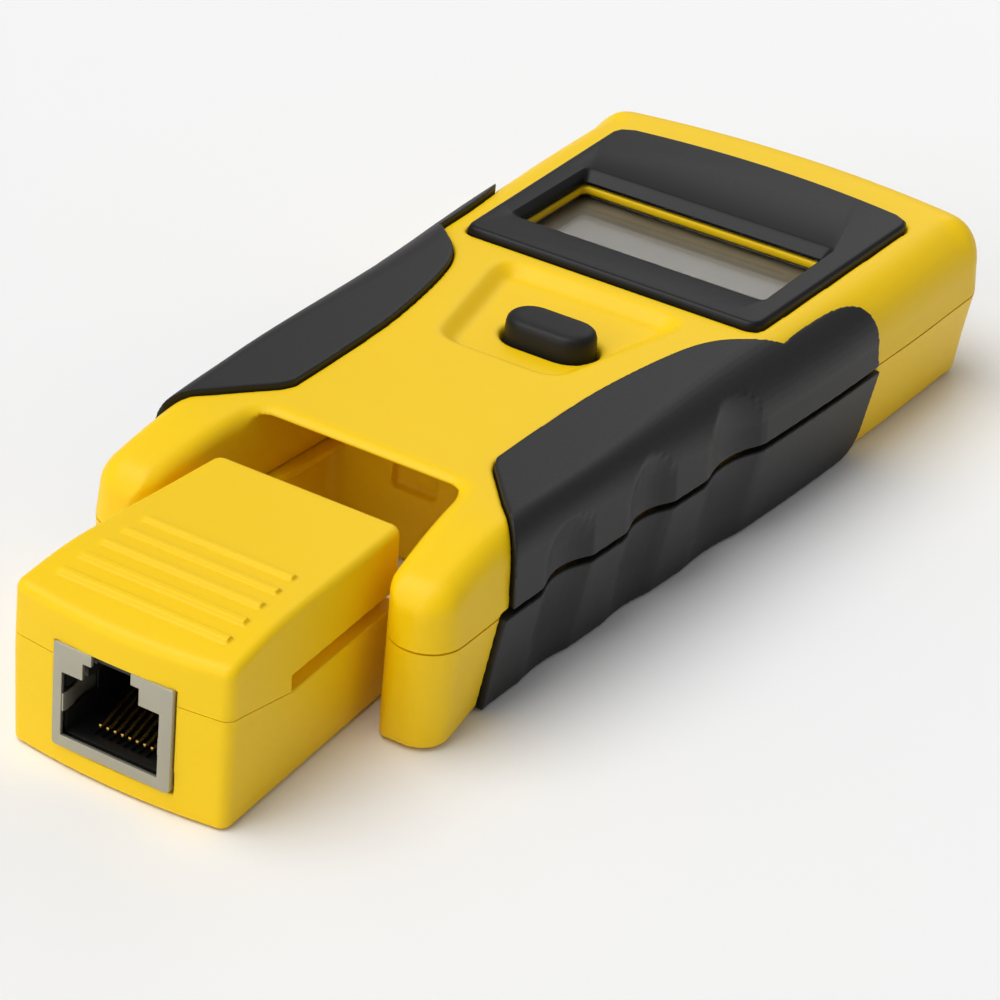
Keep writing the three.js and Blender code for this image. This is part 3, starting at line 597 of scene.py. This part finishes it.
def dock_walls():
    """The dock with the case's wall round it, where the case's hollow stops."""
    half, rear = DOCK_WAIST + 2, DOCK_REAR + 2
    plan = [(-half - 1.6, FRONT), (half + 1.6, FRONT), (half, ROOF_EDGE)]
    plan += [(rear, DOCK_BACK + 2), (-rear, DOCK_BACK + 2), (-half, ROOF_EDGE)]
    return prism(plan, -9, 40)


def catch_window():
    return box(-4.7, 1.7, DOCK_BACK - 1, DOCK_BACK + 1.3, 9.6, 12.9)


def upper_grip_plan():
    inner = [(14.4, 53.0), (14.5, 62), (15.1, 76), (17.2, 90), (19.6, 97), (23.6, 101.4)]
    lobe = [(31.2, 123.9), (29.6, 123.1), (28, 121.4), (26.9, 118.4)]
    lobe += [(26.3, 114), (26, 109), (26, 104)]
    return np.vstack(
        [
            [(40, GRIP_FRONT), (40, GRIP_REAR), (33.4, GRIP_REAR)],
            spline(lobe, 4),
            spline(inner, 6)[::-1],
            [(15.2, 51.2), (20.2, 45.2), (24.8, 40.4), (28.6, GRIP_FRONT)],
        ]
    )


def lower_grip_plan():
    plan = [(40, GRIP_FRONT), (40, GRIP_REAR), (26.0, GRIP_REAR), (25.4, 112), (23.6, 84)]
    return plan + [(21.8, 62), (21.0, 44), (22.2, GRIP_FRONT)]


def grip_block(plan, z0, z1, fit, corner):
    """A grip's plan moved out by `fit` and raised, with its rear corner at the base rounded."""
    rear = GRIP_REAR + fit
    side = rounded([(30, z0), (rear, z0), (rear, z1), (30, z1)], (0, corner, 0, 0), 8)
    return within(prism(grown(plan, fit), z0, z1), along_x(side, 5, 50))


def grip(plan, z0, z1, corner=0):
    skin = cut(case_form(GRIP_PROUD, flute_depth), case_form(-GRIP_BURY))
    return within(skin, grip_block(plan, z0, z1, GRIP_FIT, corner))


def grip_pockets(plan, z0, z1, corner=0):
    block = grip_block(plan, z0, z1, POCKET_FIT, corner)
    return both_sides(cut(block, case_form(-GRIP_BURY - 0.3)))


def build_grips():
    upper = grip(upper_grip_plan(), PARTING + 0.4, TOP + 3)
    lower = grip(lower_grip_plan(), 0.05, PARTING - 0.4, GRIP_CORNER)
    for level, piece in (("upper", upper), ("lower", lower)):
        moulded(piece, 0.18, 6, arms_fall, 0.2)
        left = copy_of(piece, mirror=True)
        for side, made in (("right", piece), ("left", left)):
            node = f"grip_{level}_{side}"
            place(made, f"{node}_form", "tester", [node], "grip_rubber")


def recess_plan():
    points = [(9.0, 75.8), (14.6, 101.0), (-14.6, 101.0), (-9.0, 75.8)]
    return dense(rounded(points, (4.5, 4.0, 4.0, 4.5), 8), 1.2)


def recess():
    levels = []
    for t in np.linspace(0, 1, 9):
        levels.append((RECESS_FLOOR + (TOP - RECESS_FLOOR) * smoothstep(t), 2.5 - 3.0 * t))
    levels.append((TOP + 2, -0.6))
    return loft(recess_plan(), levels)


def obround(x, y, straight, radius, steps=12):
    right = arc(x + straight / 2, y, radius, -90, 90, steps)
    left = arc(x - straight / 2, y, radius, 90, 270, steps)
    return np.vstack([right, left])


# ---------------------------------------------------------------- shells


def bezel_plan(grow=0.0):
    near, far, near_half, far_half, bow = 103.6, 147.2, 22.3, 23.3, 2.4
    x = np.linspace(far_half - 2.4, 0, 10)
    edge = np.column_stack([x, far + bow * (1 - (x / far_half) ** 2)])
    right = [
        (near_half - 1.6, near),
        (near_half - 0.4, near + 0.5),
        (near_half, near + 1.8),
        (far_half, far - 2.2),
        (far_half - 0.5, far - 0.7),
        edge,
    ]
    return grown(dense(mirrored(right), 1.6), grow)


def pane(half, near, far, corner, steps=5):
    return rounded([(half, near), (half, far), (-half, far), (-half, near)], corner, steps)


def window_ring(half, near, far, corner, z):
    ring = pane(half, near, far, corner)
    return np.column_stack([ring, np.full(len(ring), z)])


def jack_hole(low, y0, y1):
    half = JACK_WIDTH / 2 + 0.2
    return box(-half, half, y0, y1, low - 0.2, low + JACK_HEIGHT + 0.2)


def dock_rails():
    tip_back = 12.95 - REMOTE_TAPER * (DOCK_BACK - 38.4)
    plan = [(13.4, 38.4), (16.4, 38.4), (15.0, 62.5), (tip_back, 62.5), (12.95, 39.4)]
    return both_sides(bevelled(prism(plan, 12.35, 13.3), 0.2))


def build_case():
    """Both shells as one moulding, with every edge softened, and then parted along the seam."""
    dish = loft(recess_plan(), [(18, -1.2), (30, -1.2)])
    bay_walls = box(-13.4, 13.4, 65, 115.6, -5, 14.4)
    hollow = cut(case_form(-WALL), dock_walls(), dish, bay_walls)
    window = through_rings([window_ring(*WINDOW, 0.8, 15), window_ring(*WINDOW, 0.8, 30)])
    bay, door_seat = box(-12, 12, 66.4, 114.2, -1, 12.6), box(-12.7, 12.7, 65.7, 114.9, -1, 1.8)
    button_hole = [(15, 0), (21.3, 0), (21.9, -0.25), (22.3, -0.7), (30, -0.7)]
    case = cut(
        case_form(),
        hollow,
        *dock_space(),
        catch_window(),
        *grip_pockets(upper_grip_plan(), PARTING - 0.3, TOP + 3),
        *grip_pockets(lower_grip_plan(), -0.1, PARTING + 0.3, GRIP_CORNER),
        recess(),
        loft(obround(*BUTTON, BUTTON_STRAIGHT, 3.9), button_hole),
        loft(bezel_plan(0.25), [(BEZEL_SEAT - 0.3, 0), (TOP + 3, 0)]),
        window,
        bay,
        door_seat,
        jack_hole(MAIN_JACK_LOW, END - JACK_DEPTH - 1, END + 3),
        *[post(x, y, -1, 6.2, 2.7) for x, y in CASE_SCREWS],
    )
    moulded(case, 0.28, 5, arms_fall, 0.4)
    lower = cut(copy_of(case), box(-50, 50, 0, 180, PARTING - SEAM, 60))
    join(lower, *dock_rails())
    upper = cut(case, box(-50, 50, 0, 180, -5, PARTING + SEAM))
    place(upper, "upper_shell_form", "tester", ["upper_shell"], "yellow_abs", sharp=50)
    place(lower, "lower_shell_form", "tester", ["lower_shell"], "yellow_abs", sharp=50)


# ---------------------------------------------------------------- display and button


def build_bezel():
    plate = loft(
        bezel_plan(),
        [(BEZEL_SEAT, 0), (24.0, 0), (24.3, 0.08), (24.53, 0.26), (24.66, 0.5), (BEZEL_TOP, 0.85)],
    )
    opening = through_rings(
        [
            window_ring(*WINDOW, 0.7, 20),
            window_ring(*WINDOW, 0.7, 23.3),
            window_ring(18.9, 111.9, 130.4, 0.9, 23.9),
            window_ring(19.3, 111.0, 131.2, 1.1, 24.5),
            window_ring(19.6, 110.5, 131.7, 1.3, 24.75),
            window_ring(19.6, 110.5, 131.7, 1.3, 26),
        ]
    )
    bezel = cut(plate, opening)
    place(bezel, "bezel_form", "tester", ["display_bezel"], "bezel_black", sharp=28)


def build_lens():
    plate = loft(pane(20.4, 110.4, 132.0, 1), [(20.3, 0.1), (20.4, 0), (20.85, 0), (21.0, 0.15)])
    place(plate, "lens_form", "tester", ["display_lens"], "lens_clear", sharp=28)


def build_lcd():
    """The display glass: a thin rear plate, and a front plate that stops short of its ledge."""
    rear = prism(pane(19.7, 111.0, 131.4, 0.3, 3), 18.9, 19.5)
    front = prism(pane(19.7, 112.6, 131.4, 0.3, 3), 19.4, 20.0)
    place(join(rear, front), "lcd_form", "tester", ["lcd_panel"], "lcd_grey", sharp=28)


def build_button():
    outline = obround(*BUTTON, BUTTON_STRAIGHT, 3.5)
    cap = loft(
        outline,
        [
            (19.7, -1.2),
            (20.45, -1.2),
            (20.5, -1.15),
            (20.5, -0.1),
            (20.6, 0),
            (22.4, 0.02),
            (24.1, 0.14),
            (24.55, 0.3),
            (24.85, 0.6),
            (25.0, 1.0),
            (25.08, 1.6),
            (25.1, 2.4),
        ],
    )
    place(cap, "button_form", "button", ["test_button"], "button_rubber", sharp=40)


# ---------------------------------------------------------------- modular jacks


def mouth_section(low, notch_top):
    """The mouth with its latch step and notch, seen from the front."""
    steps = [(MOUTH_HALF, 1.5), (MOUTH_HALF, 9.75), (3.8, 9.75), (3.8, 11.9)]
    steps += [(2.65, 11.9), (2.65, notch_top)]
    right = [(MOUTH_X + dx, low + dz) for dx, dz in steps]
    left = [(MOUTH_X - dx, low + dz) for dx, dz in steps]
    return right + left[::-1]


def contact_rows():
    """The x of each of the eight contacts."""
    return [CONTACT_PITCH * (i - 3.5) - 0.2 for i in range(8)]


def contact_wire(x, low):
    """A flattened spring wire, bent up from the front of the mouth's floor to its back."""
    path = spline(
        [(12.9, 5.62), (11.4, 5.1), (7.0, 3.5), (4.0, 2.4), (3.1, 2.12), (2.9, 2.3), (2.95, 2.6)], 5
    )
    half_width, half_thick = 0.24, 0.15
    ring = arc(0, 0, 1, 0, 360, 10)[:-1]
    rings = []
    for i, (y, z) in enumerate(path):
        ahead, behind = path[min(i + 1, len(path) - 1)], path[max(i - 1, 0)]
        direction = (ahead - behind) / np.linalg.norm(ahead - behind)
        across = np.array([-direction[1], direction[0]])
        wide, thick = half_width * ring[:, 0], half_thick * ring[:, 1]
        ys, zs = y + thick * across[0], low + z + thick * across[1]
        rings.append(np.column_stack([x + wide, ys, zs]))
    return through_rings(rings[::-1])


def jack_shield(low):
    """The folded metal can, open behind, and the spring fingers at the sides of its mouth."""
    half, high = JACK_WIDTH / 2, low + JACK_HEIGHT
    corners = [(half, low), (half, high), (-half, high), (-half, low)]
    inner = [(half - SHEET, low + SHEET), (half - SHEET, high - SHEET)]
    inner += [(SHEET - half, high - SHEET), (SHEET - half, low + SHEET)]
    shell = cut(
        along_y(rounded(corners, [0.6, 0.3, 0.3, 0.6], 4), -JACK_PROUD, JACK_DEPTH),
        along_y(inner, SHEET - JACK_PROUD, JACK_DEPTH + 1),
        box(-half - 1, half + 1, 3, JACK_DEPTH + 1, low - 1, low + 1.25),
        along_y(mouth_section(low, JACK_HEIGHT + 1), -2, 3),
    )
    bevelled(shell, 0.1, 2)
    fingers = []
    for side, bottom, top in ((-1, 4.6, 6.9), (1, 4.4, 6.5)):
        edge = MOUTH_X + side * MOUTH_HALF
        path = [(-0.25, 0.35), (-0.1, -0.15), (0.4, -0.3), (1.8, -0.15), (3.4, 0.35), (4.6, 0.5)]
        outer = [(edge + side * reach, y) for y, reach in path]
        inner = [(px + side * 0.22, py + 0.02) for px, py in outer]
        leaf = outer + inner[::-1]
        fingers.append(prism(leaf[::-1] if side < 0 else leaf, low + bottom, low + top))
    return fingers, shell


def jack_housing(low):
    half, top = JACK_WIDTH / 2 - SHEET - 0.3, low + JACK_HEIGHT - SHEET - 0.3
    block = box(-half, half, SHEET + 0.3, JACK_DEPTH - 1, low + 1.1, top)
    combs = [box(x - 0.4, x + 0.4, 2.3, 13.6, low + 1.2, low + 3) for x in contact_rows()]
    pockets = [
        box(MOUTH_X - 7.3, MOUTH_X - 6.0, -1, 6.5, low + 4.2, low + 7.3),
        box(MOUTH_X + 6.0, MOUTH_X + 7.5, -1, 6.5, low + 4.0, low + 6.9),
    ]
    mouth = along_y(mouth_section(low, 12.2), -1, 13.5)
    return bevelled(cut(block, mouth, *pockets, *combs), 0.08, 2)


def build_jack(prefix, body, low, face, outwards):
    """One jack: face is the y of its face plane, and outwards -1 or +1 the way along Y it faces."""

    def handed(piece, name, nodes, slot):
        turn_axes(piece, lambda p: p * [-outwards, -outwards, 1] + [0, face, 0])
        place(piece, name, body, nodes, slot, sharp=32)

    fingers, shield = jack_shield(low)
    shield_node = f"{prefix}_jack_shield"
    handed(shield, f"{shield_node}_form", [shield_node], "jack_metal")
    for side, finger in zip(("left", "right"), fingers):
        handed(finger, f"{shield_node}_finger_{side}", [shield_node], "jack_metal")
    housing_node = f"{prefix}_jack_housing"
    handed(jack_housing(low), f"{housing_node}_form", [housing_node], "jack_black")
    for i, x in enumerate(contact_rows()):
        node = f"{prefix}_jack_contact_{i + 1}"
        handed(contact_wire(x, low), f"{node}_form", [node], "contact_gold")


# ---------------------------------------------------------------- remote unit


def remote_outline():
    rear_half = REMOTE_FRONT_HALF - REMOTE_TAPER * REMOTE_REAR
    corner = 1.6
    edge = REMOTE_FRONT_HALF - corner
    across = np.linspace(0, edge, 10)[:-1]
    bow = np.column_stack([across, REMOTE_FRONT - REMOTE_BOW * (1 - (across / edge) ** 2)])
    right = [
        bow,
        arc(edge, REMOTE_FRONT + corner, corner, -82, 0, 8),
        arc(rear_half - corner, REMOTE_REAR - corner, corner, 0, 90, 8),
    ]
    return dense(mirrored(right), 1.5)


def remote_form():
    bottom_edge, top_edge, widest, draft = 0.55, 1.15, 12.0, 0.2
    levels = foot(0, draft, bottom_edge, 6) + [(widest, 0)]
    levels += brow(REMOTE_TOP, draft / 2, top_edge, top_edge, 9)
    return loft(remote_outline(), levels)


REMOTE_ROLL = [(-3, 2.6), (-1.3, 2.0), (0.5, 1.5), (3, 1.0)]
REMOTE_ROLL += [(6.8, 0.4), (10, 0.09), (14, 0), (20, 0)]
REMOTE_ROLL = spline(REMOTE_ROLL, 8)  # y and how far the remote's top falls
ROLL_FOOT = 14.6  # nothing below this height is rolled


def remote_roll(points):
    """Rolls the remote's top down towards its front face."""
    drop = np.interp(points[:, 1], REMOTE_ROLL[:, 0], REMOTE_ROLL[:, 1])
    share = smoothstep((points[:, 2] - ROLL_FOOT) / (REMOTE_TOP - ROLL_FOOT))
    points[:, 2] -= drop * share
    return points


def remote_ribs():
    ribs = []
    for i in range(5):
        y, half = 4.0 + 3.44 * i, 11.4 - 0.3 * i
        section = [(-0.7, -0.8), (0.7, -0.8), (0.6, 0.1), (0.4, 0.45), (-0.4, 0.45), (-0.6, 0.1)]
        section = [(y + across, REMOTE_TOP + up) for across, up in section]
        ribs.append(along_x(section, -half, half))
    return ribs


def below_parting(gap):
    """What is below the remote's seam, which falls from the front face to the side slots."""
    rear, front = SLOT_LOW - gap, REMOTE_SEAM_FRONT - gap
    profile = [(-5, -5), (50, -5), (50, rear), (SLOT_FRONT, rear), (1.5, front), (-5, front)]
    return along_x(profile, -20, 20)


def remote_slots():
    def depth(y):
        return REMOTE_FRONT_HALF - REMOTE_TAPER * y - SLOT_DEPTH

    rear = REMOTE_REAR + 3
    plan = [(depth(SLOT_FRONT), SLOT_FRONT), (20, SLOT_FRONT), (20, rear), (depth(rear), rear)]
    return both_sides(prism(plan, SLOT_LOW - 0.01, SLOT_HIGH))


def remote_hollow():
    wall = 1.6
    front_half = REMOTE_FRONT_HALF - SLOT_DEPTH - 1.45
    rear_half = front_half - REMOTE_TAPER * REMOTE_REAR
    rear = REMOTE_REAR - wall
    plan = [(-front_half, wall), (front_half, wall), (rear_half, rear), (-rear_half, rear)]
    return prism(plan, wall, 17.4)


def build_remote_shells():
    hole = jack_hole(REMOTE_JACK_LOW, -4, 3)
    whole = cut(join(remote_form(), *remote_ribs()), remote_hollow(), *remote_slots(), hole)
    cut(whole, *[post(x, y, -1, 4.6, 2.0) for x, y in REMOTE_SCREWS])
    moulded(whole, 0.16, 3, remote_roll, 0.35)
    lower = within(copy_of(whole), below_parting(0.05))
    upper = cut(whole, below_parting(-0.05))
    for level, piece in (("upper", upper), ("lower", lower)):
        node = f"remote_{level}_shell"
        place(piece, f"{node}_form", "remote", [node], "yellow_abs", sharp=50)


# ---------------------------------------------------------------- underside


def build_battery_door():
    outline = rounded([(-12.4, 66.0), (12.4, 66.0), (12.4, 114.6), (-12.4, 114.6)], 0.8, 4)
    plate = loft(outline, [(0.3, 0.25), (0.42, 0.07), (0.6, 0), (1.5, 0)])
    ribs = []
    for y in (70.4, 72.4, 74.4, 76.4, 78.4):
        rib = rounded([(-6, y - 0.5), (6, y - 0.5), (6, y + 0.5), (-6, y + 0.5)], 0.4, 4)
        ribs.append(loft(rib, [(0.05, 0.2), (0.2, 0), (0.6, 0)]))
    latch = box(-3.5, 3.5, 112.5, 113.9, 1.3, 3.7)
    door = join(plate, latch, *ribs)
    place(door, "battery_door_form", "door", ["battery_door"], "yellow_abs", sharp=30)


def build_screw(name, body, x, y, low, length, shank, head):
    """A cross-head screw, its head down at z = low; shank and head are radii."""
    depth = head * 0.62
    profile = [(head * 0.62, 0), (head * 0.84, 0.05), (head * 0.97, depth * 0.3)]
    profile += [(head, depth * 0.6), (head, depth), (shank, depth)]
    profile += [(shank, length - shank), (0.05, length)]
    screw = turned(x, y, [(radius, low + z) for radius, z in profile])
    arm, half = head * 0.6, head * 0.13
    across = box(x - arm, x + arm, y - half, y + half, low - 1, low + depth * 0.6)
    along = box(x - half, x + half, y - arm, y + arm, low - 1, low + depth * 0.6)
    place(cut(screw, across, along), f"{name}_form", body, [name], "screw_steel", sharp=30)


# ---------------------------------------------------------------- build everything

build_case()
build_grips()
build_bezel()
build_lens()
build_lcd()
build_button()
build_jack("main", "tester", MAIN_JACK_LOW, END - JACK_PROUD, 1)
build_jack("remote", "remote", REMOTE_JACK_LOW, FACE_Y + JACK_PROUD, -1)
build_remote_shells()
build_battery_door()
for i, (sx, sy) in enumerate(CASE_SCREWS):
    build_screw(f"case_screw_{i + 1}", "tester", sx, sy, 4.2, 14, 1.1, 2.2)
for i, (sx, sy) in enumerate(REMOTE_SCREWS):
    build_screw(f"remote_screw_{i + 1}", "remote", sx, sy, 3.2, 11.6, 0.8, 1.6)

# ---------------------------------------------------------------- floor, light and camera


def build_stage():
    floor = mesh_object("floor", [(-3, -3, 0), (3, -3, 0), (3, 3, 0), (-3, 3, 0)], [[0, 1, 2, 3]])
    floor.location.z = -0.0002
    white = linear(246, 246, 246)
    paint = finish("floor_paint", white, 0.75, grain=(60, 0.02, 0.2), mottle=(6, 0.004))
    floor.data.materials.append(paint)
    world = bpy.data.worlds.new("studio")
    world.use_nodes = True
    background = world.node_tree.nodes["Background"]
    background.inputs["Color"].default_value = (1, 1, 1, 1)
    background.inputs["Strength"].default_value = 0.3
    bpy.context.scene.world = world
    bpy.context.scene.view_settings.view_transform = "Standard"


def lamp(name, kind, place_at, strength, size, spin=0):
    """A lamp aimed at the tester's middle; size is in degrees for a sun and metres for an area."""
    light = bpy.data.lights.new(name, kind)
    light.energy = strength
    if kind == "SUN":
        light.angle = math.radians(size)
    else:
        light.shape = "SQUARE"
        light.size = size
    made = bpy.data.objects.new(name, light)
    bpy.context.scene.collection.objects.link(made)
    made.location = place_at
    aim = Vector((0, 0, 0.01)) - made.location
    made.rotation_mode = "QUATERNION"
    turn = Matrix.Rotation(math.radians(spin), 3, "Z").to_quaternion()
    made.rotation_quaternion = aim.to_track_quat("-Z", "Y") @ turn


def build_camera():
    data = bpy.data.cameras.new("camera")
    data.lens = 121.72
    data.sensor_width = 36
    data.clip_start, data.clip_end = 0.01, 10
    camera = bpy.data.objects.new("camera", data)
    bpy.context.scene.collection.objects.link(camera)
    right = Vector((0.84623, 0.52580, 0.08619))
    up = Vector((-0.32552, 0.38214, 0.86488))
    back = Vector((0.42181, -0.75994, 0.49453))
    turn = Matrix((right, up, back)).transposed()
    camera.rotation_mode = "QUATERNION"
    camera.rotation_quaternion = turn.to_quaternion()
    camera.location = (0.18379, ORIGIN_Y - 0.25024, 0.21617)
    bpy.context.scene.camera = camera


build_stage()
lamp("overhead", "SUN", (-0.35, -0.3, 1.0), 1.95, 50)
lamp("front", "SUN", (-0.3, -1.0, 0.4), 0.7, 40)
lamp("window", "AREA", (-0.27, 0.95, 0.7), 1.4, 0.6, 28)
build_camera()
